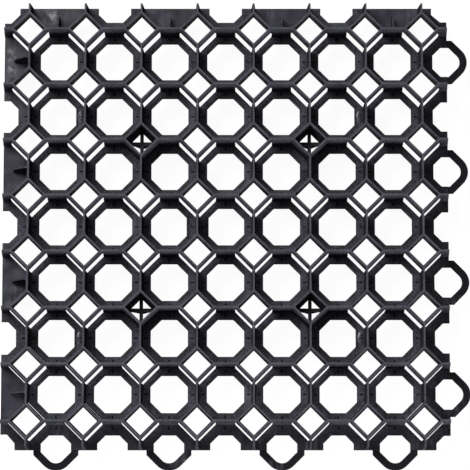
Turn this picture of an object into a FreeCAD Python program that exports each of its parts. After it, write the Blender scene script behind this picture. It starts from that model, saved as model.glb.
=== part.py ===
"""Interlocking grass paver grid, one moulded piece of black recycled plastic.

A square panel of upright walls on a thin base flange. The walls follow a lattice
of octagon cells with small diamond cells between them. Coupling loops stand out
on the +X and -Y edges, and cover plates on the -X and +Y edges lie over the loops
of the neighbouring panel. Four pegs below the base anchor the panel in the soil.

Units are millimetres and +Z is up. The shapes are made with the base at z = 0.
At the end the panel is lifted onto its pegs, as it stands on a floor unheld, so
z = 0 is then at their tips. The origin is the middle of the outline with loops.
"""
import FreeCAD
import Part
import math
import os

# Lattice
PITCH = 62.5
CELLS = 7
HEIGHT = 40.0
JOINT = 1.6

# Walls, each given as half its thickness or as a distance from a diamond's centre
WALL_TOP = 1.0
WALL_FOOT = 2.4
DIAMOND_OUT_TOP = 13.95
DIAMOND_OUT_SILL = 15.3
DIAMOND_IN_TOP = 12.2
DIAMOND_IN_SILL = 10.75
ANCHOR_IN_FOOT = 9.4
SILL = 24.5
EDGE_DRAFT = 2.2

# Base flange and the pocket below each diamond
FLANGE = 3.0
HOLE_FLAT = 20.65
POCKET_FOOT = 15.9
POCKET_SILL = 15.6

# Notches in the flange of the open edge cells
HOLE_INNER = 14.1
HOLE_CHAMFER = 9.0
LOOP_SIDE_LAND = 14.5
PLATE_SIDE_LAND = 13.1

# Coupling loops and cover plates, at every second edge cell
LOOP_THICK = 2.0
LOOP_BAND = 8.1
LOOP_HOLE_TIP = 44.8
LOOP_HOLE_RADIUS = 10.5
LOOP_PLAY = 1.0
PLATE_UNDER = 2.2
PLATE_TOP = 4.2
PLATE_INSET = 0.55
FIN_REACH = 18.8
FIN_STEP = 11.0
FIN_MIDDLE = (12.8, 26.0)
FIN_HEIGHT = 37.5
FIN_THICK = 1.8

# Pegs in four of the diamonds
PEG_AT = (2, 5)
PEG_LENGTH = 25.0
PEG_TOP = 4.0
PEG_HALF = 9.8
PEG_HALF_TIP = 1.5
PEG_THICK_TOP = 4.1
PEG_THICK_TIP = 2.0

# Worked out from the sizes above
ROOT2 = math.sqrt(2.0)
EDGE = PITCH / 2.0 - JOINT / 2.0
REACH = CELLS * PITCH / 2.0
HOLE_HALF = PITCH / 2.0 - LOOP_SIDE_LAND
LOOP_HALF = HOLE_HALF + LOOP_BAND
LOOP_HOLE_SUM = LOOP_HOLE_TIP + LOOP_HOLE_RADIUS * (ROOT2 - 1.0)
LOOP_SUM = LOOP_HOLE_SUM + LOOP_BAND * ROOT2
LOOP_RADIUS = LOOP_HOLE_RADIUS + LOOP_BAND
LOOP_TIP = LOOP_HOLE_TIP + LOOP_BAND
SHIFT = (LOOP_TIP - EDGE) / 2.0
PAST = 2.0


def between(low, high, z_low, z_high, z):
    """Value at height z on the straight line through two stated heights."""
    return low + (high - low) * (z - z_low) / (z_high - z_low)


def wall_half(z):
    """Half the thickness of a straight wall at height z."""
    return between(WALL_FOOT, WALL_TOP, 0.0, HEIGHT, z)


def diamond_out(z):
    """Distance from a diamond's centre to the outer face of its wall, upright below the sill."""
    return between(DIAMOND_OUT_SILL, DIAMOND_OUT_TOP, SILL, HEIGHT, max(z, SILL))


def diamond_in(z):
    """Distance from a diamond's centre to the inner face of its wall."""
    return between(DIAMOND_IN_SILL, DIAMOND_IN_TOP, SILL, HEIGHT, z)


def anchor_in(z):
    """Distance from an anchor diamond's centre to the inner face of its wall."""
    return between(ANCHOR_IN_FOOT, DIAMOND_IN_TOP, 0.0, HEIGHT, z)


def pocket_half(z):
    """Half the width of the square pocket below a diamond at height z."""
    return between(POCKET_FOOT, POCKET_SILL, 0.0, SILL, z)


def lattice(index):
    """Position of a wall line counted from the low side."""
    return index * PITCH - REACH


def octagon(flat, diagonal, z):
    """Points of an octagon with its flats and diagonals at two distances."""
    side = diagonal * ROOT2 - flat
    quarter = [(flat, side), (side, flat)]
    points = []
    for turn in range(4):
        for x, y in quarter:
            for _ in range(turn):
                x, y = -y, x
            points.append(FreeCAD.Vector(x, y, z))
    return points


def diamond(half, z):
    """Points of a square on its corner with the given inner radius."""
    corner = half * ROOT2
    points = [(corner, 0.0), (0.0, corner), (-corner, 0.0), (0.0, -corner)]
    return [FreeCAD.Vector(x, y, z) for x, y in points]


def wire(points):
    """Closed wire through the points."""
    return Part.makePolygon(points + [points[0]])


def taper(*outlines):
    """Solid through outlines at rising heights, with flat sides."""
    faces = [Part.Face(wire(outlines[0])), Part.Face(wire(outlines[-1]))]
    for low, high in zip(outlines[:-1], outlines[1:]):
        for here in range(len(low)):
            after = (here + 1) % len(low)
            faces.append(Part.Face(wire([low[here], low[after], high[after], high[here]])))
    shell = Part.makeShell(faces)
    shell.sewShape()
    solid = Part.makeSolid(shell)
    if solid.Volume < 0.0:
        solid.reverse()
    return solid


def prism(points, z_low, z_high):
    """Upright prism on an outline."""
    flat = [FreeCAD.Vector(p[0], p[1], z_low) for p in points]
    return Part.Face(wire(flat)).extrude(FreeCAD.Vector(0, 0, z_high - z_low))


def place(shape, x, y, turn=0.0):
    """Copy of a shape turned about Z and moved in the plane."""
    copy = shape.copy()
    copy.rotate(FreeCAD.Vector(0, 0, 0), FreeCAD.Vector(0, 0, 1), turn)
    copy.translate(FreeCAD.Vector(x, y, 0))
    return copy


def cell_room(floor):
    """Room inside the walls of an octagon cell, from its floor upwards."""
    outlines = []
    for z in (floor, SILL, HEIGHT + PAST):
        flat = PITCH / 2.0 - wall_half(z)
        diagonal = PITCH / ROOT2 - diamond_out(z)
        outlines.append(octagon(flat, diagonal, z))
    return taper(*outlines)


def cell_tool():
    """Room of an inner cell with the octagon hole through its flange."""
    hole = prism(octagon(HOLE_FLAT, HOLE_FLAT, 0.0), -PAST, FLANGE + PAST)
    return cell_room(FLANGE).fuse(hole)


def diamond_tool():
    """Opening of a diamond and the square pocket below its walls."""
    top = HEIGHT + PAST
    upper = taper(diamond(diamond_in(SILL - PAST), SILL - PAST), diamond(diamond_in(top), top))
    lower = taper(diamond(pocket_half(-PAST), -PAST), diamond(pocket_half(SILL), SILL))
    return upper.fuse(lower)


def anchor_tool():
    """Opening of a diamond whose walls go down to the base."""
    top = HEIGHT + PAST
    return taper(diamond(anchor_in(-PAST), -PAST), diamond(anchor_in(top), top))


def edge_hole(land):
    """Notch in the flange of an open edge cell, open towards +X."""
    half = PITCH / 2.0 - land
    u1 = HOLE_INNER + HOLE_CHAMFER
    v0 = half - HOLE_CHAMFER
    points = [(HOLE_INNER, -v0), (u1, -half), (PITCH, -half)]
    points += [(PITCH, half), (u1, half), (HOLE_INNER, v0)]
    return prism(points, -PAST, FLANGE + PAST)


def corner_hole(land, next_land):
    """Notch in the flange of a corner cell, open towards +X and +Y."""
    u1 = HOLE_INNER + HOLE_CHAMFER
    points = [(u1, land), (PITCH, land), (PITCH, PITCH), (next_land, PITCH), (next_land, u1)]
    return prism(points, -PAST, FLANGE + PAST)


def tip_edges(half, total, radius):
    """Two 45 degree sides and the round tip of a loop that points to +X."""
    centre = total - radius * ROOT2
    near = centre + radius / ROOT2
    shoulder = FreeCAD.Vector(total - half, half, 0)
    upper = FreeCAD.Vector(near, radius / ROOT2, 0)
    tip = FreeCAD.Vector(centre + radius, 0, 0)
    lower = FreeCAD.Vector(near, -radius / ROOT2, 0)
    other = FreeCAD.Vector(total - half, -half, 0)
    return [Part.makeLine(shoulder, upper),
            Part.Arc(upper, tip, lower).toShape(),
            Part.makeLine(lower, other)]


def loop_outline(half, total, radius, back):
    """Closed outline of a loop from the given back points to its tip."""
    edges = tip_edges(half, total, radius)
    start = FreeCAD.Vector(total - half, -half, 0)
    end = FreeCAD.Vector(total - half, half, 0)
    path = [start] + [FreeCAD.Vector(x, y, 0) for x, y in back] + [end]
    for first, second in zip(path[:-1], path[1:]):
        edges.append(Part.makeLine(first, second))
    return Part.Wire(Part.__sortEdges__(edges))


def loop_solid(outline, z_low, z_high):
    """Upright solid on a loop's outline."""
    solid = Part.Face(outline).extrude(FreeCAD.Vector(0, 0, z_high - z_low))
    solid.translate(FreeCAD.Vector(0, 0, z_low))
    return solid


def loop_body():
    """Loop without its hole, pointing to +X from its wall line."""
    back = [(HOLE_INNER, -LOOP_HALF), (HOLE_INNER, LOOP_HALF)]
    return loop_solid(loop_outline(LOOP_HALF, LOOP_SUM, LOOP_RADIUS, back), 0.0, LOOP_THICK)


def loop_hole():
    """Hole through a loop and through the flange behind it."""
    u1 = HOLE_INNER + HOLE_CHAMFER
    v0 = HOLE_HALF - HOLE_CHAMFER
    back = [(u1, -HOLE_HALF), (HOLE_INNER, -v0), (HOLE_INNER, v0), (u1, HOLE_HALF)]
    outline = loop_outline(HOLE_HALF, LOOP_HOLE_SUM, LOOP_HOLE_RADIUS, back)
    return loop_solid(outline, -PAST, FLANGE + PAST)


def plate_recess():
    """Room under a cover plate for the loop of the neighbour, which points to -X."""
    half = LOOP_HALF + LOOP_PLAY
    back = [(0.0, -half), (0.0, half)]
    outline = loop_outline(half, LOOP_SUM + LOOP_PLAY * ROOT2, LOOP_RADIUS + LOOP_PLAY, back)
    return place(loop_solid(outline, -PAST, PLATE_UNDER), PITCH, 0.0, 180.0)


def plate_room():
    """Room above a cover plate, with the strip by which the plate stays back from the edge."""
    start = FreeCAD.Vector(EDGE - PLATE_INSET - PITCH / 2.0, -PITCH / 2.0, -PAST)
    strip = Part.makeBox(PITCH, PITCH, PLATE_TOP + 2.0 * PAST, start)
    return cell_room(PLATE_TOP).fuse(strip.common(cell_room(-PAST)))


def fin():
    """Upright fin with a curved back on a cover plate, running out along +X."""
    low = PLATE_TOP - LOOP_PLAY / 2.0
    foot = FreeCAD.Vector(FIN_REACH, 0, low)
    step = FreeCAD.Vector(FIN_REACH, 0, FIN_STEP)
    middle = FreeCAD.Vector(FIN_MIDDLE[0], 0, FIN_MIDDLE[1])
    top = FreeCAD.Vector(0, 0, FIN_HEIGHT)
    heel = FreeCAD.Vector(0, 0, low)
    edges = [Part.makeLine(heel, foot),
             Part.makeLine(foot, step),
             Part.Arc(step, middle, top).toShape(),
             Part.makeLine(top, heel)]
    side = Part.Face(Part.Wire(edges)).extrude(FreeCAD.Vector(0, FIN_THICK, 0))
    return place(side, 0.0, -FIN_THICK / 2.0)


def blade_section(half, z):
    """Corners of a peg blade's section at height z."""
    side = between(PEG_THICK_TIP, PEG_THICK_TOP, -PEG_LENGTH, PEG_TOP, z) / 2.0
    corners = [(-half, -side), (half, -side), (half, side), (-half, side)]
    return [FreeCAD.Vector(x, y, z) for x, y in corners]


def peg():
    """Plus-shaped peg that hangs between the walls of an anchor diamond."""
    root_half = anchor_in(PEG_TOP) * ROOT2 + PEG_THICK_TOP / 2.0
    root = taper(blade_section(root_half, 0.0), blade_section(root_half, PEG_TOP))
    blade = taper(blade_section(PEG_HALF_TIP, -PEG_LENGTH), blade_section(PEG_HALF, 0.0))
    blade = blade.fuse(root)
    return blade.fuse(place(blade, 0.0, 0.0, 90.0))


def edge_spots():
    """Edge cells as (side turn, cell number, x and y of the wall line at its middle)."""
    spots = []
    for turn in (0, 90, 180, 270):
        angle = math.radians(turn)
        for number in range(CELLS):
            along = lattice(number) + PITCH / 2.0
            x = REACH * math.cos(angle) - along * math.sin(angle)
            y = REACH * math.sin(angle) + along * math.cos(angle)
            spots.append((turn, number, x, y))
    return spots


def loop_side(turn):
    """True for the +X and -Y sides, which carry loops and no plates."""
    return turn % 360 in (0, 270)


def is_loop(turn, number):
    """True for the edge cells that carry a loop."""
    return loop_side(turn) and number % 2 == 0


def is_plate(turn, number):
    """True for the edge cells that carry a cover plate."""
    return not loop_side(turn) and number % 2 == 0


def side_land(turn):
    """Width of the flange beside a notch on the side of that turn."""
    return LOOP_SIDE_LAND if loop_side(turn) else PLATE_SIDE_LAND


def panel_block():
    """Panel outline with its edge draft and the bodies of the loops."""
    half = REACH + EDGE
    top = half - EDGE_DRAFT
    corners = [(1, 1), (-1, 1), (-1, -1), (1, -1)]
    low = [FreeCAD.Vector(half * x, half * y, 0) for x, y in corners]
    high = [FreeCAD.Vector(top * x, top * y, HEIGHT) for x, y in corners]
    loops = []
    for turn, number, x, y in edge_spots():
        if is_loop(turn, number):
            loops.append(place(loop_body(), x, y, turn))
    return taper(low, high).multiFuse(loops)


def inner_tools():
    """Rooms and flange holes of the whole cells."""
    whole = cell_tool()
    tools = []
    for column in range(CELLS):
        for row in range(CELLS):
            tools.append(place(whole, lattice(column + 0.5), lattice(row + 0.5)))
    return tools


def edge_tools():
    """Rooms, loop holes, plate recesses and notches of the cells that the panel's edge cuts."""
    open_room = cell_room(FLANGE)
    covered_room = plate_room()
    tools = []
    for turn, number, x, y in edge_spots():
        room = covered_room if is_plate(turn, number) else open_room
        tools.append(place(place(room, PITCH / 2.0, 0.0), x, y, turn))
        if is_loop(turn, number):
            tools.append(place(loop_hole(), x, y, turn))
        elif is_plate(turn, number):
            tools.append(place(plate_recess(), x, y, turn))
        else:
            tools.append(place(edge_hole(side_land(turn)), x, y, turn))
    return tools


def corner_tools():
    """Rooms and notches of the four corner cells."""
    open_room = cell_room(FLANGE)
    middle = REACH + PITCH / 2.0
    tools = []
    for turn, sx, sy in ((0, 1, 1), (90, -1, 1), (180, -1, -1), (270, 1, -1)):
        notch = corner_hole(side_land(turn), side_land(turn + 90))
        tools.append(place(open_room, middle * sx, middle * sy))
        tools.append(place(notch, REACH * sx, REACH * sy, turn))
    return tools


def is_anchor(column, row):
    """True for the four diamonds that hold a peg."""
    return column in PEG_AT and row in PEG_AT


def diamond_tools():
    """Openings of all diamonds, four of them with walls down to the base."""
    plain = diamond_tool()
    anchor = anchor_tool()
    tools = []
    for column in range(CELLS + 1):
        for row in range(CELLS + 1):
            tool = anchor if is_anchor(column, row) else plain
            tools.append(place(tool, lattice(column), lattice(row)))
    return tools


def additions():
    """Fins on the plates and pegs in the anchor diamonds."""
    shapes = []
    for turn, number, x, y in edge_spots():
        if is_plate(turn, number):
            shapes.append(place(fin(), x, y, turn))
    for column in PEG_AT:
        for row in PEG_AT:
            shapes.append(place(peg(), lattice(column), lattice(row)))
    return shapes


def build_panel():
    """The whole panel as one solid, lifted onto its pegs."""
    body = panel_block().cut(inner_tools() + edge_tools() + corner_tools() + diamond_tools())
    body = body.multiFuse(additions())
    body = body.removeSplitter()
    body.translate(FreeCAD.Vector(-SHIFT, SHIFT, PEG_LENGTH))
    return body


os.makedirs("parts", exist_ok=True)
panel = build_panel()
print("solids", len(panel.Solids), "faces", len(panel.Faces), "valid", panel.isValid())
print("volume cm3", panel.Volume / 1000.0, "box", panel.BoundBox)
panel.Solids[0].exportStep("parts/grid_panel.step")
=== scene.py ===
"""Looks of a moulded plastic grass paver grid that stands on a pale studio floor.

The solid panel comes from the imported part. A skin made from that solid gets rounded
edges and the finish of recycled black plastic, and it stands for the solid in the
pictures. Four low domes and ten slim strips, which the solid doesn't have, are added
on its rings. All lengths are in metres, +Z is up and the pegs touch the floor at z = 0.
"""
import logging
import math
from dataclasses import dataclass, field
from enum import Enum
from functools import reduce
from typing import Iterable, Sequence, Union

import bmesh
import bpy
from mathutils import Matrix, Vector

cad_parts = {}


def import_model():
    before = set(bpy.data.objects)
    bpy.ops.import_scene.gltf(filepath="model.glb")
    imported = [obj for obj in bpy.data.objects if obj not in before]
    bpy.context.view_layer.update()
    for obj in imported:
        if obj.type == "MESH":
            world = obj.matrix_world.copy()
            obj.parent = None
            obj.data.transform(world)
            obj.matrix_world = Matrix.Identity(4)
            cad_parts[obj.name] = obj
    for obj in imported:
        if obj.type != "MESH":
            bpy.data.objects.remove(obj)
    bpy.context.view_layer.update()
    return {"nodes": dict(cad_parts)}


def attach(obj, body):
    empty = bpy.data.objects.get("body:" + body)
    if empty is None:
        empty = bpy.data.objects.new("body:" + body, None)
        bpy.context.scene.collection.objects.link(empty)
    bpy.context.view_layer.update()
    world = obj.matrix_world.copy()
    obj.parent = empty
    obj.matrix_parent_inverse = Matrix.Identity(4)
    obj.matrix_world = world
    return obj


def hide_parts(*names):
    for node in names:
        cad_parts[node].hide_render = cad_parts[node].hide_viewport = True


LOG = logging.getLogger("paver")
Socket = bpy.types.NodeSocket
Value = Union[float, Socket]
Colour = tuple[float, float, float]

MM = 0.001
# Distance between two neighbouring wall lines.
PITCH = 62.5 * MM
# Middle of the lattice, on the underside of the rings.
LATTICE = Vector((-11.225 * MM, 11.225 * MM, 25.0 * MM))
# Distances from the lattice's middle to its outermost wall lines and to the plates' rims.
FIELD = 3.5 * PITCH
BORDER = FIELD + 30.2 * MM
# Heights of the flat tops and of the walls.
LOOP_TOP = LATTICE.z + 2.0 * MM
RING_TOP = LATTICE.z + 3.0 * MM
PLATE_TOP = LATTICE.z + 4.2 * MM
WALL_TOP = LATTICE.z + 40.0 * MM
# From a cell's middle to the straight sides of its hole, and half the length of such a side.
CELL_FLAT = 20.65 * MM
CELL_SIDE = 11.65 * MM
# From a wall line to the hole beside it.
RING_REACH = PITCH / 2.0 - CELL_FLAT
# Segments of each rounded edge.
ROUND_STEPS = 2


class Coat(Enum):
    """Names of the painted data layers on the pieces."""

    EDGE = "rounded_edges"


@dataclass(frozen=True)
class Noise:
    """One procedural noise.

    Args:
        scale: Cells per metre.
        detail: Octaves.
        roughness: Weight of the finer octaves.
        stretch: Scale factors along X, Y and Z.
    """

    scale: float
    detail: float
    roughness: float
    stretch: tuple[float, float, float] = (1.0, 1.0, 1.0)


class Texture(Enum):
    """The noises in the plastic, from coarse to fine."""

    PATCHES = Noise(scale=21.0, detail=5.0, roughness=0.62)
    CLOUDS = Noise(scale=38.0, detail=4.0, roughness=0.6, stretch=(1.0, 1.0, 0.6))
    SHEEN = Noise(scale=55.0, detail=3.0, roughness=0.55)
    WAVES = Noise(scale=60.0, detail=2.0, roughness=0.5)
    RUBBING = Noise(scale=70.0, detail=3.0, roughness=0.6)
    BUCKLES = Noise(scale=75.0, detail=0.0, roughness=0.4)
    SPOTS = Noise(scale=150.0, detail=2.0, roughness=0.5)
    HAIRS = Noise(scale=160.0, detail=3.0, roughness=0.6, stretch=(1.0, 0.22, 1.0))
    GRAIN = Noise(scale=420.0, detail=3.0, roughness=0.6)
    SPECKS = Noise(scale=480.0, detail=2.0, roughness=0.6)
    PORES = Noise(scale=1500.0, detail=2.0, roughness=0.6)


class NodeSheet:
    """Small helper that builds one node tree."""

    def __init__(self, tree: bpy.types.NodeTree) -> None:
        """Keep the tree and empty it.

        Args:
            tree: Node tree of a material or world.
        """
        self.tree = tree
        tree.nodes.clear()

    def add(self, kind: str, **values: object) -> bpy.types.Node:
        """Add a node and set its plain properties.

        Args:
            kind: Node type name.
            values: Properties of the node.

        Returns:
            The new node.
        """
        node = self.tree.nodes.new(kind)
        for name, value in values.items():
            setattr(node, name, value)
        return node

    def link(self, source: Socket, target: Socket) -> None:
        """Connect two sockets.

        Args:
            source: Output socket.
            target: Input socket.
        """
        self.tree.links.new(source, target)

    def math(self, operation: str, *values: Value, clamp: bool = False) -> Socket:
        """Add a Math node.

        Args:
            operation: Name of the operation.
            values: One to three numbers or sockets.
            clamp: Whether the result stays between 0 and 1.

        Returns:
            The result socket.
        """
        node = self.add("ShaderNodeMath", operation=operation, use_clamp=clamp)
        for slot, value in zip(node.inputs, values):
            if isinstance(value, Socket):
                self.link(value, slot)
            else:
                slot.default_value = value
        return node.outputs[0]

    def product(self, *values: Value) -> Socket:
        """Multiply numbers and sockets.

        Args:
            values: Two or more numbers or sockets.

        Returns:
            The product socket.
        """
        return reduce(lambda first, second: self.math("MULTIPLY", first, second), values)

    def most(self, *values: Value) -> Socket:
        """Find the greatest of numbers and sockets.

        Args:
            values: Two or more numbers or sockets.

        Returns:
            The socket with the greatest value.
        """
        return reduce(lambda first, second: self.math("MAXIMUM", first, second), values)

    def split(self, vector: Socket) -> tuple[Socket, Socket, Socket]:
        """Split a vector into its three numbers.

        Args:
            vector: Vector socket.

        Returns:
            The X, Y and Z sockets.
        """
        node = self.add("ShaderNodeSeparateXYZ")
        self.link(vector, node.inputs[0])
        return node.outputs[0], node.outputs[1], node.outputs[2]

    def noise(self, coordinates: Socket, texture: Texture) -> Socket:
        """Add a noise texture on stretched coordinates.

        Args:
            coordinates: Vector socket.
            texture: The noise to make.

        Returns:
            The noise value socket.
        """
        spec = texture.value
        mapping = self.add("ShaderNodeMapping")
        mapping.inputs["Scale"].default_value = spec.stretch
        self.link(coordinates, mapping.inputs["Vector"])
        node = self.add("ShaderNodeTexNoise")
        node.inputs["Scale"].default_value = spec.scale
        node.inputs["Detail"].default_value = spec.detail
        node.inputs["Roughness"].default_value = spec.roughness
        self.link(mapping.outputs[0], node.inputs["Vector"])
        return node.outputs[0]

    def span(self, value: Socket, low: float, high: float, to_low: float = 0.0,
             to_high: float = 1.0) -> Socket:
        """Map a value from one range to another and clamp it.

        Args:
            value: Input socket.
            low: Start of the input range.
            high: End of the input range.
            to_low: Start of the output range.
            to_high: End of the output range.

        Returns:
            The result socket.
        """
        node = self.add("ShaderNodeMapRange", clamp=True)
        self.link(value, node.inputs["Value"])
        node.inputs["From Min"].default_value = low
        node.inputs["From Max"].default_value = high
        node.inputs["To Min"].default_value = to_low
        node.inputs["To Max"].default_value = to_high
        return node.outputs[0]

    def near(self, value: Socket, centre: float, half: float, soft: float) -> Socket:
        """Mask that is 1 where a value lies within a distance of a centre.

        Args:
            value: Input socket.
            centre: Middle of the band.
            half: Half the width of the band.
            soft: Width of the soft border.

        Returns:
            The mask socket.
        """
        away = self.math("ABSOLUTE", self.math("SUBTRACT", value, centre))
        return self.span(away, half - soft / 2.0, half + soft / 2.0, 1.0, 0.0)

    def blend(self, factor: Socket, first: Union[Colour, Socket],
              second: Union[Colour, Socket]) -> Socket:
        """Mix two colours.

        Args:
            factor: Socket between 0 and 1.
            first: Colour or socket at 0.
            second: Colour or socket at 1.

        Returns:
            The colour socket.
        """
        node = self.add("ShaderNodeMix", data_type="RGBA")
        self.link(factor, node.inputs["Factor"])
        for name, value in (("A", first), ("B", second)):
            slot = [item for item in node.inputs if item.name == name and item.type == "RGBA"][0]
            if isinstance(value, Socket):
                self.link(value, slot)
            else:
                slot.default_value = (*value, 1.0)
        return [item for item in node.outputs if item.type == "RGBA"][0]

    def background_rays(self) -> Socket:
        """Mask of the rays that see the white background, straight, in a gloss or through glass.

        Returns:
            The mask socket.
        """
        rays = self.add("ShaderNodeLightPath")
        return self.most(rays.outputs["Is Camera Ray"], rays.outputs["Is Glossy Ray"],
                         rays.outputs["Is Transmission Ray"])


class PanelMap:
    """Masks that find the parts of the moulding by their place.

    Each mask is a socket: flat for the faces that look up, rings, plates and loops for
    their tops, loops also for the painted shade that fades over the flange beside them,
    grooves for the short grooves and seams, lines for the painted shade lines along holes
    and rims, and shiny for the polished spots.
    """

    def __init__(self, sheet: NodeSheet, lip_shade: float) -> None:
        """Make all masks.

        Args:
            sheet: The node tree helper.
            lip_shade: Strength of the painted shade lines.
        """
        self.sheet = sheet
        self.place = sheet.add("ShaderNodeTexCoord").outputs["Object"]
        self.across, self.along, self.height = sheet.split(self.place)
        self.slope = sheet.split(sheet.add("ShaderNodeNewGeometry").outputs["Normal"])[2]
        self.flat = sheet.span(self.slope, 0.6, 0.95)
        self.rings = self._top(RING_TOP, 0.5 * MM)
        self.plates = self._top(PLATE_TOP, 0.15 * MM)
        self.loops = self._loops()
        self.grooves = self._grooves()
        # Painted shade lines along the holes and the plates' rims.
        self.lines = sheet.most(self._hole_lines(lip_shade), self._rim_lines(lip_shade))
        self.shiny = self._shiny()

    def _top(self, middle: float, half: float) -> Socket:
        """Mask of the upward faces within a band of height.

        Args:
            middle: Height of the band's middle.
            half: Half the height of the band.

        Returns:
            The mask socket.
        """
        return self.sheet.product(self.sheet.near(self.height, middle, half, soft=0.3 * MM), self.flat)

    def _loops(self) -> Socket:
        """Mask of the loops, which fades over the flange beside them as painted shade.

        Returns:
            The mask socket.
        """
        sheet = self.sheet
        right = sheet.math("SUBTRACT", self.across, LATTICE.x)
        front = sheet.math("SUBTRACT", LATTICE.y, self.along)
        # Painted shade over the flange beside the loops, stronger towards the right and front borders.
        fading = sheet.span(sheet.most(right, front), FIELD - 4.0 * MM, FIELD + 16.0 * MM,
                            to_high=0.75)
        return sheet.most(sheet.product(fading, self.rings), self._top(LOOP_TOP, 0.5 * MM))

    def _grooves(self) -> Socket:
        """Mask of the short grooves, one in each straight part of a ring and painted dark as shade,
        and of a faint seam up each wall.

        Returns:
            The mask socket.
        """
        sheet = self.sheet
        from_wall = []
        for value, middle in ((self.across, LATTICE.x), (self.along, LATTICE.y)):
            moved = sheet.math("SUBTRACT", value, middle + PITCH / 2.0)
            from_wall.append(sheet.math("PINGPONG", moved, PITCH / 2.0))
        masks = []
        for here, sideways in (from_wall, from_wall[::-1]):
            groove_shade = sheet.span(sideways, PITCH / 2.0 - 0.75 * MM, PITCH / 2.0 - 0.45 * MM)
            reach = sheet.near(here, centre=5.6 * MM, half=1.9 * MM, soft=0.3 * MM)
            masks.append(sheet.product(groove_shade, reach, self.flat))
            seam = sheet.span(sideways, PITCH / 2.0 - 0.4 * MM, PITCH / 2.0 - 0.15 * MM)
            wall = sheet.span(here, 2.5 * MM, 2.7 * MM, to_low=0.16, to_high=0.0)
            masks.append(sheet.product(seam, wall))
        return sheet.most(*masks)

    def _hole_lines(self, lip_shade: float) -> Socket:
        """Mask of the painted shade line where the rings roll over into the holes of the cells.

        Args:
            lip_shade: Strength of the painted shade.

        Returns:
            The mask socket.
        """
        sheet = self.sheet
        moved = (sheet.math("SUBTRACT", self.across, LATTICE.x),
                 sheet.math("SUBTRACT", self.along, LATTICE.y))
        across, along = (sheet.math("PINGPONG", value, PITCH / 2.0) for value in moved)
        straight = sheet.math("SUBTRACT", sheet.most(across, along), CELL_FLAT)
        skew = sheet.math("SUBTRACT", sheet.math("ADD", across, along), CELL_FLAT + CELL_SIDE)
        away = sheet.most(straight, sheet.product(skew, math.sqrt(0.5)))
        line = sheet.near(away, centre=0.3 * MM, half=0.45 * MM, soft=0.3 * MM)
        outward = sheet.most(*(sheet.math("ABSOLUTE", value) for value in moved))
        inside = sheet.span(outward, FIELD - 1.0 * MM, FIELD, to_low=lip_shade, to_high=0.0)
        return sheet.product(line, inside, self.rings)

    def _rim_lines(self, lip_shade: float) -> Socket:
        """Mask of the painted shade line along the outer rims of the plates.

        Args:
            lip_shade: Strength of the painted shade.

        Returns:
            The mask socket.
        """
        sheet = self.sheet
        left = sheet.math("SUBTRACT", LATTICE.x, self.across)
        rear = sheet.math("SUBTRACT", self.along, LATTICE.y)
        line = sheet.span(sheet.most(left, rear), BORDER - 1.5 * MM, BORDER - 1.2 * MM, to_high=lip_shade)
        return sheet.product(line, self.plates)

    def _shiny(self) -> Socket:
        """Mask of the polished spots on the two plates nearest the rear left corner.

        Returns:
            The mask socket.
        """
        sheet = self.sheet
        left = sheet.product(
            sheet.near(self.across, LATTICE.x - BORDER + 8.0 * MM, half=5.0 * MM, soft=4.0 * MM),
            sheet.near(self.along, LATTICE.y + 3.0 * PITCH, half=15.0 * MM, soft=6.0 * MM))
        rear = sheet.product(
            sheet.near(self.across, LATTICE.x - 3.0 * PITCH - 9.0 * MM, half=8.0 * MM, soft=6.0 * MM),
            sheet.near(self.along, LATTICE.y + BORDER - 9.0 * MM, half=8.0 * MM, soft=6.0 * MM))
        spots = sheet.span(sheet.noise(self.place, Texture.SPOTS), 0.4, 0.7)
        return sheet.product(sheet.most(left, rear), spots, self.plates)


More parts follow.
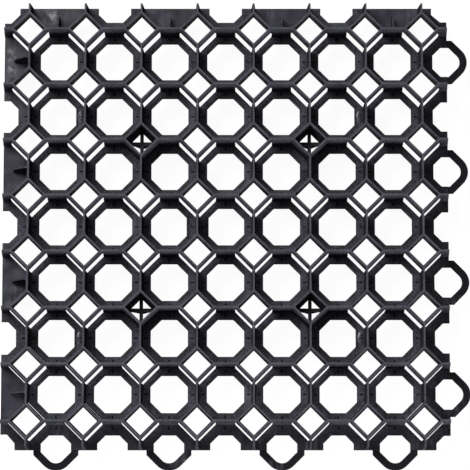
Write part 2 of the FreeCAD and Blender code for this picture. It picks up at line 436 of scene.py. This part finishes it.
@dataclass(frozen=True)
class MouldedPlastic:
    """Recycled black plastic with grain, flow streaks, scuffs and rubbed edges, with painted
    highlights on its ridges and wall tops and painted shade on its low edges, in its grooves,
    along its holes and rims and beside its loops.

    Args:
        name: Name of the material.
        dark: Colour of the dark streaks.
        light: Colour of the pale specks.
        plate: Palest colour of the plates.
        loop_and_shade: Colour of the loops, darker partly as painted shade, and of the painted shade
            over the flange beside them.
        scuff: Colour of the scuffs.
        worn_and_highlight: Colour of the rubbed edges and of the painted highlights on ridges and wall
            tops.
        groove_shade: Colour of the painted shade in the grooves, on low edges and along the lines, and
            of the faint seams.
        speck_share: Weight of the specks against the clouds.
        scuff_cover: How far a scuff covers what lies below it.
        edge_shade: Strength of the painted shade on the low rounded edges.
        lip_shade: Strength of the painted shade lines along holes and rims.
        specular: Strength of the reflection.
        plate_dull: Share of the reflection that the plates lack.
        loop_dull: Share of the reflection that the loops lack.
        spot_gloss: Reflection that the polished spots add.
        roughness: Mean roughness.
        plate_smooth: How much less rough the plates are.
        spot_smooth: How much less rough the polished spots are.
        scuff_rough: How much rougher the scuffs are.
        grain: Factor on the depth of the relief.
    """

    name: str = "recycled_black_plastic"
    dark: Colour = (0.014, 0.0142, 0.019)
    light: Colour = (0.092, 0.0915, 0.118)
    plate: Colour = (0.078, 0.076, 0.108)
    loop_and_shade: Colour = (0.0125, 0.0122, 0.0158)
    scuff: Colour = (0.17, 0.168, 0.2)
    worn_and_highlight: Colour = (0.15, 0.149, 0.182)
    groove_shade: Colour = (0.006, 0.006, 0.007)
    speck_share: float = 0.6
    scuff_cover: float = 0.8
    edge_shade: float = 0.75
    lip_shade: float = 0.8
    specular: float = 0.16
    plate_dull: float = 0.25
    loop_dull: float = 0.7
    spot_gloss: float = 0.42
    roughness: float = 0.55
    plate_smooth: float = 0.3
    spot_smooth: float = 0.08
    scuff_rough: float = 0.12
    grain: float = 1.0

    def build(self) -> bpy.types.Material:
        """Make the material.

        Returns:
            The finished material.
        """
        material = bpy.data.materials.new(self.name)
        material.use_nodes = True
        sheet = NodeSheet(material.node_tree)
        panel = PanelMap(sheet, self.lip_shade)
        scuffs = self._scuffs(sheet, panel)
        shader = sheet.add("ShaderNodeBsdfPrincipled")
        sheet.link(self._colour(sheet, panel, scuffs), shader.inputs["Base Color"])
        sheet.link(self._gloss(sheet, panel), shader.inputs["Specular IOR Level"])
        sheet.link(self._roughness(sheet, panel, scuffs), shader.inputs["Roughness"])
        sheet.link(self._relief(sheet, panel), shader.inputs["Normal"])
        output = sheet.add("ShaderNodeOutputMaterial")
        sheet.link(shader.outputs[0], output.inputs["Surface"])
        return material

    def _scuffs(self, sheet: NodeSheet, panel: PanelMap) -> Socket:
        """Mask of the scuffs on the flat tops.

        Args:
            sheet: The node tree helper.
            panel: Masks of the panel.

        Returns:
            The mask socket.
        """
        patches = sheet.span(sheet.noise(panel.place, Texture.PATCHES), 0.5, 0.72)
        hairs = sheet.span(sheet.noise(panel.place, Texture.HAIRS), 0.42, 0.66)
        return sheet.product(patches, hairs, panel.flat)

    def _moulded(self, sheet: NodeSheet, panel: PanelMap) -> Socket:
        """Colour of specks over clouds, streaks on the plates and darker loops, partly painted shade.

        Args:
            sheet: The node tree helper.
            panel: Masks of the panel.

        Returns:
            The colour socket.
        """
        clouds = sheet.noise(panel.place, Texture.CLOUDS)
        specks = sheet.noise(panel.place, Texture.SPECKS)
        mixed = sheet.math("MULTIPLY_ADD", specks, self.speck_share,
                           sheet.product(clouds, 1.0 - self.speck_share))
        grained = sheet.blend(sheet.span(mixed, 0.36, 0.65), self.dark, self.light)
        streaked = sheet.blend(sheet.span(clouds, 0.05, 1.0), self.dark, self.plate)
        # The loops and the flange beside them take the darker colour, partly as painted shade.
        return sheet.blend(panel.plates, sheet.blend(panel.loops, grained, self.loop_and_shade), streaked)

    def _colour(self, sheet: NodeSheet, panel: PanelMap, scuffs: Socket) -> Socket:
        """Base colour with scuffs, rubbed high edges and painted highlights, painted shade on low
        edges, in grooves and along lines.

        Args:
            sheet: The node tree helper.
            panel: Masks of the panel.
            scuffs: Mask of the scuffs.

        Returns:
            The colour socket.
        """
        edge = sheet.add("ShaderNodeAttribute", attribute_name=Coat.EDGE.value).outputs["Fac"]
        high = sheet.span(panel.height, RING_TOP + 3.0 * MM, WALL_TOP - 2.0 * MM)
        rubbed = sheet.product(edge, high)
        # Painted highlight on the sloping ridges of the fins and on the rounded high edges.
        ridge_highlight = sheet.product(sheet.near(panel.slope, centre=0.5, half=0.36, soft=0.12), high)
        # Painted highlight along the wall tops.
        rim = sheet.span(panel.height, WALL_TOP - 0.8 * MM, WALL_TOP - 0.2 * MM, to_high=0.4)
        rubbing = sheet.span(sheet.noise(panel.place, Texture.RUBBING), 0.3, 0.7,
                             to_low=0.25, to_high=0.9)
        # Rubbed high edges and the painted highlights, mottled.
        wear_and_highlight = sheet.product(sheet.most(rubbed, ridge_highlight, rim), rubbing)
        # Painted shade on the rounded edges low on the panel.
        low_edge_shade = sheet.math("MULTIPLY", sheet.math("SUBTRACT", edge, rubbed), self.edge_shade,
                              clamp=True)
        scuffed = sheet.blend(sheet.product(scuffs, self.scuff_cover), self._moulded(sheet, panel),
                              self.scuff)
        used = sheet.blend(low_edge_shade, sheet.blend(wear_and_highlight, scuffed, self.worn_and_highlight), self.groove_shade)
        # Painted shade in the grooves and along holes and rims; the faint seams take the same colour.
        return sheet.blend(sheet.most(panel.grooves, panel.lines), used, self.groove_shade)

    def _gloss(self, sheet: NodeSheet, panel: PanelMap) -> Socket:
        """Strength of the reflection, damped at grazing angles by the grain and lost in grooves.

        Args:
            sheet: The node tree helper.
            panel: Masks of the panel.

        Returns:
            The strength socket.
        """
        facing = sheet.add("ShaderNodeLayerWeight")
        facing.inputs["Blend"].default_value = 0.5
        straight = sheet.span(facing.outputs["Facing"], 0.25, 0.92, to_low=1.0, to_high=0.0)
        damped = sheet.math("POWER", straight, 2.4)
        without_loops = sheet.math("MULTIPLY_ADD", panel.loops, -self.loop_dull, 1.0)
        duller = sheet.math("MULTIPLY_ADD", panel.plates, -self.plate_dull, without_loops)
        level = sheet.math("MULTIPLY_ADD", panel.shiny, self.spot_gloss,
                           sheet.product(duller, self.specular))
        open_face = sheet.math("SUBTRACT", 1.0, panel.grooves, clamp=True)
        return sheet.product(damped, level, open_face)

    def _roughness(self, sheet: NodeSheet, panel: PanelMap, scuffs: Socket) -> Socket:
        """Roughness that varies slowly, rises in scuffs and is low on the plates.

        Args:
            sheet: The node tree helper.
            panel: Masks of the panel.
            scuffs: Mask of the scuffs.

        Returns:
            The roughness socket.
        """
        sheen = sheet.span(sheet.noise(panel.place, Texture.SHEEN), 0.3, 0.7,
                           to_low=self.roughness - 0.07, to_high=self.roughness + 0.08)
        smooth = sheet.math("MULTIPLY_ADD", panel.plates, -self.plate_smooth, sheen)
        polished = sheet.math("MULTIPLY_ADD", panel.shiny, -self.spot_smooth, smooth)
        return sheet.math("MULTIPLY_ADD", scuffs, self.scuff_rough, polished, clamp=True)

    def _relief(self, sheet: NodeSheet, panel: PanelMap) -> Socket:
        """Mould grain and pores over slow waves, buckled plates, and the grooves cut in.

        Args:
            sheet: The node tree helper.
            panel: Masks of the panel.

        Returns:
            The normal socket.
        """
        buckles = sheet.product(sheet.noise(panel.place, Texture.BUCKLES), panel.plates)
        uncut = sheet.math("SUBTRACT", 1.0, panel.grooves)
        # Height, strength and depth of each layer.
        layers = ((sheet.noise(panel.place, Texture.WAVES), 0.35 * self.grain, 0.6 * MM),
                  (sheet.noise(panel.place, Texture.GRAIN), 0.4 * self.grain, 0.15 * MM),
                  (sheet.noise(panel.place, Texture.PORES), 0.3 * self.grain, 0.08 * MM),
                  (buckles, 0.7, 1.2 * MM),
                  (uncut, 0.8 * self.grain, 0.5 * MM))
        normal = None
        for height, strength, depth in layers:
            bump = sheet.add("ShaderNodeBump")
            bump.inputs["Strength"].default_value = strength
            bump.inputs["Distance"].default_value = depth
            sheet.link(height, bump.inputs["Height"])
            if normal is not None:
                sheet.link(normal, bump.inputs["Normal"])
            normal = bump.outputs[0]
        return normal


@dataclass(frozen=True)
class FloorFinish:
    """Floor that shows as white and keeps a soft shadow.

    Args:
        name: Name of the material.
        colour: Colour that takes the light and the shadow.
        glow: Level at which the background rays see it.
    """

    name: str = "studio_floor"
    colour: Colour = (0.12, 0.12, 0.12)
    glow: float = 0.95

    def build(self) -> bpy.types.Material:
        """Make the material.

        Returns:
            The finished material.
        """
        material = bpy.data.materials.new(self.name)
        material.use_nodes = True
        sheet = NodeSheet(material.node_tree)
        paint = sheet.add("ShaderNodeBsdfDiffuse")
        paint.inputs["Color"].default_value = (*self.colour, 1.0)
        light = sheet.add("ShaderNodeEmission")
        sheet.link(sheet.product(sheet.background_rays(), self.glow), light.inputs["Strength"])
        both = sheet.add("ShaderNodeAddShader")
        sheet.link(paint.outputs[0], both.inputs[0])
        sheet.link(light.outputs[0], both.inputs[1])
        output = sheet.add("ShaderNodeOutputMaterial")
        sheet.link(both.outputs[0], output.inputs["Surface"])
        return material


def ring_point(column: int, row: int) -> Vector:
    """Find where a wall line crosses the middle of a row of cells, at the rings' top.

    Args:
        column: Number of the wall line, counted from the left.
        row: Number of the row, counted from the middle one.

    Returns:
        The point.
    """
    return Vector((LATTICE.x - FIELD + column * PITCH, LATTICE.y + row * PITCH, RING_TOP))


def bevel(shape: bmesh.types.BMesh, edges: list[bmesh.types.BMEdge], width: float, steps: int,
          slide: bool = False) -> list[bmesh.types.BMFace]:
    """Round edges.

    Args:
        shape: Mesh in work.
        edges: Edges to round.
        width: Distance from each edge at which the rounding starts.
        steps: Segments of the rounding.
        slide: Whether the rounding slides along the edges that it meets.

    Returns:
        The faces of the rounding.
    """
    result = bmesh.ops.bevel(shape, geom=edges, offset=width, offset_type="OFFSET",
                             affect="EDGES", segments=steps, profile=0.5, material=-1,
                             clamp_overlap=True, loop_slide=slide)
    return result["faces"]


def bevel_and_mark(shape: bmesh.types.BMesh, edges: list[bmesh.types.BMEdge], width: float,
               slide: bool = False) -> None:
    """Round edges and mark the rounding for the finish: rubbed on high edges, painted shade on low
    ones.

    Args:
        shape: Mesh in work.
        edges: Edges to round.
        width: Distance from each edge at which the rounding starts.
        slide: Whether the rounding slides along the edges that it meets.
    """
    layer = shape.faces.layers.float.new(Coat.EDGE.value)
    for face in bevel(shape, edges, width, ROUND_STEPS, slide):
        face[layer] = 1.0


def add_piece(name: str, shape: bmesh.types.BMesh, finish: bpy.types.Material) -> bpy.types.Object:
    """Turn a finished shape into a piece of the panel and report it.

    Args:
        name: Name of the piece.
        shape: The shape, which is freed.
        finish: Its material.

    Returns:
        The object.
    """
    mesh = bpy.data.meshes.new(name)
    shape.to_mesh(mesh)
    shape.free()
    mesh.materials.append(finish)
    piece = bpy.data.objects.new(name, mesh)
    bpy.context.scene.collection.objects.link(piece)
    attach(piece, "root")
    LOG.info("%s has %d faces", name, len(mesh.polygons))
    return piece


def shade_evenly(piece: bpy.types.Object) -> None:
    """Shade a piece smooth, with its large faces kept flat.

    Args:
        piece: The object.
    """
    piece.data.shade_smooth()
    even = piece.modifiers.new("even_shading", "WEIGHTED_NORMAL")
    even.weight = 100
    even.keep_sharp = False


@dataclass
class PanelSkin:
    """Visible skin of the panel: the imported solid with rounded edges.

    Args:
        source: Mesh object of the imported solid.
        finish: Material of the panel.
        edge: Width of the rounding at each edge.
        sharp: Angle in degrees from which an edge is rounded.
        corner: Width of the rounding at the upright corners along the border.
        corner_steps: Segments of that rounding.
        weld: Distance within which loose corners of triangles are joined.
        level: Angle in degrees up to which two faces count as one flat face.
    """

    source: bpy.types.Object
    finish: bpy.types.Material
    edge: float = 0.38 * MM
    sharp: float = 20.0
    corner: float = 2.0 * MM
    corner_steps: int = 3
    weld: float = 0.01 * MM
    level: float = 0.3

    def build(self) -> bpy.types.Object:
        """Make the skin and hide the imported solid that it stands for.

        Returns:
            The skin object.
        """
        shape = bmesh.new()
        shape.from_mesh(self.source.data)
        self._clean(shape)
        self._round_corners(shape)
        self._round_edges(shape)
        skin = add_piece("moulded_panel", shape, self.finish)
        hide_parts("grid_panel")
        shade_evenly(skin)
        return skin

    def _clean(self, shape: bmesh.types.BMesh) -> None:
        """Join the loose triangles and drop the lines inside flat faces.

        Args:
            shape: Mesh in work.
        """
        bmesh.ops.remove_doubles(shape, verts=shape.verts[:], dist=self.weld)
        bmesh.ops.dissolve_limit(shape, angle_limit=math.radians(self.level),
                                 verts=shape.verts[:], edges=shape.edges[:],
                                 use_dissolve_boundaries=False)

    def _round_corners(self, shape: bmesh.types.BMesh) -> None:
        """Round the upright corners of the flange and the plates along the panel's border.

        Args:
            shape: Mesh in work.
        """
        corners = [line for line in shape.edges if self._on_border(line)]
        LOG.info("rounding %d corners of the border", len(corners))
        bevel(shape, corners, self.corner, self.corner_steps)

    def _on_border(self, line: bmesh.types.BMEdge) -> bool:
        """Tell whether an edge is an upright corner of the flange or a plate on the border.

        Args:
            line: Edge of the panel.

        Returns:
            True for such a corner.
        """
        low, high = sorted((end.co for end in line.verts), key=lambda point: point.z)
        reach = max(abs(low.x - LATTICE.x), abs(low.y - LATTICE.y))
        upright = high.z - low.z > 1.5 * MM and (high - low).xy.length < 0.4 * MM
        return upright and high.z < PLATE_TOP + 0.1 * MM and abs(reach - BORDER) < 1.0 * MM

    def _round_edges(self, shape: bmesh.types.BMesh) -> None:
        """Round every sharp edge and mark the rounding: rubbed where high, painted shade where low.

        Args:
            shape: Mesh in work.
        """
        limit = math.radians(self.sharp)
        edges = [line for line in shape.edges
                 if line.is_manifold and line.calc_face_angle() > limit]
        LOG.info("rounding %d of %d edges", len(edges), len(shape.edges))
        bevel_and_mark(shape, edges, self.edge, slide=True)


@dataclass(frozen=True)
class WideLands:
    """Slim strips that make the ring wider beside five of the walls.

    Args:
        finish: Material of the strips.
        places: Wall line, row of cells and width of the strips on both sides of the wall.
        depth: Thickness of the ring.
        rise: How far the strips stand above the ring, so that no two faces coincide.
        overlap: How far the strips reach into the ring.
        edge: Width of the rounding.
    """

    finish: bpy.types.Material
    places: tuple[tuple[int, int, float], ...] = (
        (1, -2, 1.1 * MM), (1, 2, 1.1 * MM), (6, -2, 1.1 * MM), (6, 2, 1.1 * MM),
        (3, 0, 1.7 * MM))
    depth: float = 3.0 * MM
    rise: float = 0.03 * MM
    overlap: float = 1.2 * MM
    edge: float = 0.35 * MM

    def build(self) -> bpy.types.Object:
        """Make the strips as one mesh.

        Returns:
            The object with the strips.
        """
        shape = bmesh.new()
        for column, row, width in self.places:
            size = (self.overlap + width, 2.0 * (CELL_SIDE + width), self.depth)
            for side in (-1.0, 1.0):
                aside = side * (RING_REACH - self.overlap + size[0] / 2.0)
                middle = ring_point(column, row) + Vector((aside, 0.0, self.rise - self.depth / 2.0))
                form = Matrix.Translation(middle) @ Matrix.Diagonal((*size, 1.0))
                bmesh.ops.create_cube(shape, size=1.0, matrix=form)
        bevel_and_mark(shape, [line for line in shape.edges if self._along_hole(line)], self.edge)
        lands = add_piece("wide_lands", shape, self.finish)
        shade_evenly(lands)
        return lands

    def _along_hole(self, line: bmesh.types.BMEdge) -> bool:
        """Tell whether an edge lies on the side of the cell's hole.

        Args:
            line: Edge of a strip.

        Returns:
            True for the edges along the hole.
        """
        for end in line.verts:
            lines = (end.co.x - LATTICE.x + FIELD) / PITCH
            if abs(lines - round(lines)) * PITCH < RING_REACH + 0.5 * MM:
                return False
        return True


@dataclass(frozen=True)
class GateDomes:
    """Four low domes on the rings, left where the plastic entered the mould.

    Args:
        finish: Material of the domes.
        columns: Wall lines that have domes beside them.
        rows: Rows of cells that have domes, counted from the middle.
        radii: Half axes of the ellipsoid that each dome is the cap of.
        sunk: Depth of the ellipsoid's middle below the rings' top.
        offset: Distance of a dome's middle from its wall line.
        root: How far each dome reaches into the ring.
        segments: Segments of the ellipsoid round its axis and along it.
    """

    finish: bpy.types.Material
    columns: tuple[int, int] = (1, 6)
    rows: tuple[int, int] = (-2, 2)
    radii: tuple[float, float, float] = (8.2 * MM, 15.6 * MM, 8.2 * MM)
    sunk: float = 6.92 * MM
    offset: float = 5.8 * MM
    root: float = 0.02 * MM
    segments: tuple[int, int] = (48, 72)

    def build(self) -> bpy.types.Object:
        """Make the domes as one mesh.

        Returns:
            The object with the domes.
        """
        shape = bmesh.new()
        for column in self.columns:
            for row in self.rows:
                middle = ring_point(column, row) - Vector((self.offset, 0.0, self.sunk))
                form = Matrix.Translation(middle) @ Matrix.Diagonal((*self.radii, 1.0))
                bmesh.ops.create_uvsphere(shape, u_segments=self.segments[0],
                                          v_segments=self.segments[1], radius=1.0, matrix=form)
        rims = self._cut_off(shape)
        for face in shape.faces:
            face.smooth = True
        for rim in rims:
            rim.smooth = False
        return add_piece("gate_domes", shape, self.finish)

    def _cut_off(self, shape: bmesh.types.BMesh) -> list[bmesh.types.BMEdge]:
        """Keep the caps above the rings and close them below.

        Args:
            shape: Mesh in work.

        Returns:
            The edges round the caps' undersides.
        """
        cut = bmesh.ops.bisect_plane(shape, geom=shape.verts[:] + shape.edges[:] + shape.faces[:],
                                     plane_co=(0.0, 0.0, RING_TOP - self.root),
                                     plane_no=(0.0, 0.0, 1.0), clear_inner=True)
        rims = [item for item in cut["geom_cut"] if isinstance(item, bmesh.types.BMEdge)]
        bmesh.ops.holes_fill(shape, edges=rims, sides=0)
        return rims


@dataclass(frozen=True)
class SoftBox:
    """One rectangular studio lamp with white light.

    Args:
        name: Name of the lamp.
        place: Position.
        size: Width and height.
        power: Power in watts.
    """

    name: str
    place: tuple[float, float, float]
    size: tuple[float, float]
    power: float

    def build(self) -> bpy.types.Object:
        """Make the lamp, aimed at the panel.

        Returns:
            The lamp object.
        """
        data = bpy.data.lights.new(self.name, "AREA")
        data.shape = "RECTANGLE"
        data.size, data.size_y = self.size
        data.energy = self.power
        lamp = bpy.data.objects.new(self.name, data)
        lamp.location = self.place
        lamp.rotation_euler = (-Vector(self.place)).to_track_quat("-Z", "Y").to_euler()
        bpy.context.scene.collection.objects.link(lamp)
        return lamp


@dataclass
class Studio:
    """Floor, surround and lamps.

    Args:
        floor: Finish of the floor.
        reach: Half the length of the floor's sides.
        drop: How far the floor lies below the peg tips.
        lamps: The lamps.
        surround: Grey level of the world's light on the panel.
    """

    floor: FloorFinish = field(default_factory=FloorFinish)
    reach: float = 6.0
    drop: float = 0.2 * MM
    lamps: Sequence[SoftBox] = (
        SoftBox("key", (-2.05, 1.6, 4.0), (2.3, 2.3), 134.0),
        SoftBox("top", (-0.85, 1.15, 4.0), (1.5, 1.5), 18.0),
        SoftBox("fill", (0.5, -2.6, 0.8), (2.4, 0.6), 72.0),
    )
    surround: float = 0.03

    def build(self) -> None:
        """Make the floor, the lamps and the world."""
        self._floor()
        for lamp in self.lamps:
            lamp.build()
        self._world()

    def _floor(self) -> None:
        """Lay the floor just below the peg tips."""
        shape = bmesh.new()
        bmesh.ops.create_grid(shape, x_segments=1, y_segments=1, size=self.reach)
        mesh = bpy.data.meshes.new("floor")
        shape.to_mesh(mesh)
        shape.free()
        mesh.materials.append(self.floor.build())
        floor = bpy.data.objects.new("floor", mesh)
        floor.location.z = -self.drop
        bpy.context.scene.collection.objects.link(floor)

    def _world(self) -> None:
        """Light the panel evenly in grey and show white to the background rays."""
        world = bpy.data.worlds.new("surround")
        world.use_nodes = True
        sheet = NodeSheet(world.node_tree)
        level = sheet.span(sheet.background_rays(), 0.0, 1.0, to_low=self.surround)
        back = sheet.add("ShaderNodeBackground")
        sheet.link(level, back.inputs["Strength"])
        output = sheet.add("ShaderNodeOutputWorld")
        sheet.link(back.outputs[0], output.inputs["Surface"])
        bpy.context.scene.world = world


@dataclass(frozen=True)
class PhotoCamera:
    """Camera almost straight above the panel, from a long way off.

    Args:
        target: Point it looks at.
        tilt: Angle from the vertical in degrees, towards -Y.
        distance: Distance to the target.
        lens: Focal length in millimetres.
        sensor: Width of the sensor in millimetres.
    """

    target: tuple[float, float, float] = (-0.00071, -0.00024, 0.045)
    tilt: float = 8.03
    distance: float = 3.146
    lens: float = 216.97
    sensor: float = 36.0

    def build(self) -> bpy.types.Object:
        """Make the camera and use it for the scene.

        Returns:
            The camera object.
        """
        data = bpy.data.cameras.new("photo_camera")
        data.sensor_width = self.sensor
        data.lens = self.lens
        camera = bpy.data.objects.new("photo_camera", data)
        lean = math.radians(self.tilt)
        away = Vector((0.0, -math.sin(lean), math.cos(lean))) * self.distance
        camera.location = Vector(self.target) + away
        camera.rotation_euler = (lean, 0.0, 0.0)
        bpy.context.scene.collection.objects.link(camera)
        bpy.context.scene.camera = camera
        return camera


def main() -> None:
    """Build the dressed panel, the studio and the camera."""
    logging.basicConfig(level=logging.INFO, format="%(name)s: %(message)s")
    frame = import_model()
    panel_finish = MouldedPlastic()
    land_finish = MouldedPlastic(name="land_plastic", lip_shade=0.0)
    gate_finish = MouldedPlastic(name="gate_plastic", roughness=0.25, specular=0.6, grain=0.1)
    PanelSkin(frame["nodes"]["grid_panel"], panel_finish.build()).build()
    WideLands(land_finish.build()).build()
    GateDomes(gate_finish.build()).build()
    Studio().build()
    PhotoCamera().build()
    bpy.context.scene.view_settings.view_transform = "Standard"


if __name__ == "__main__":
    main()
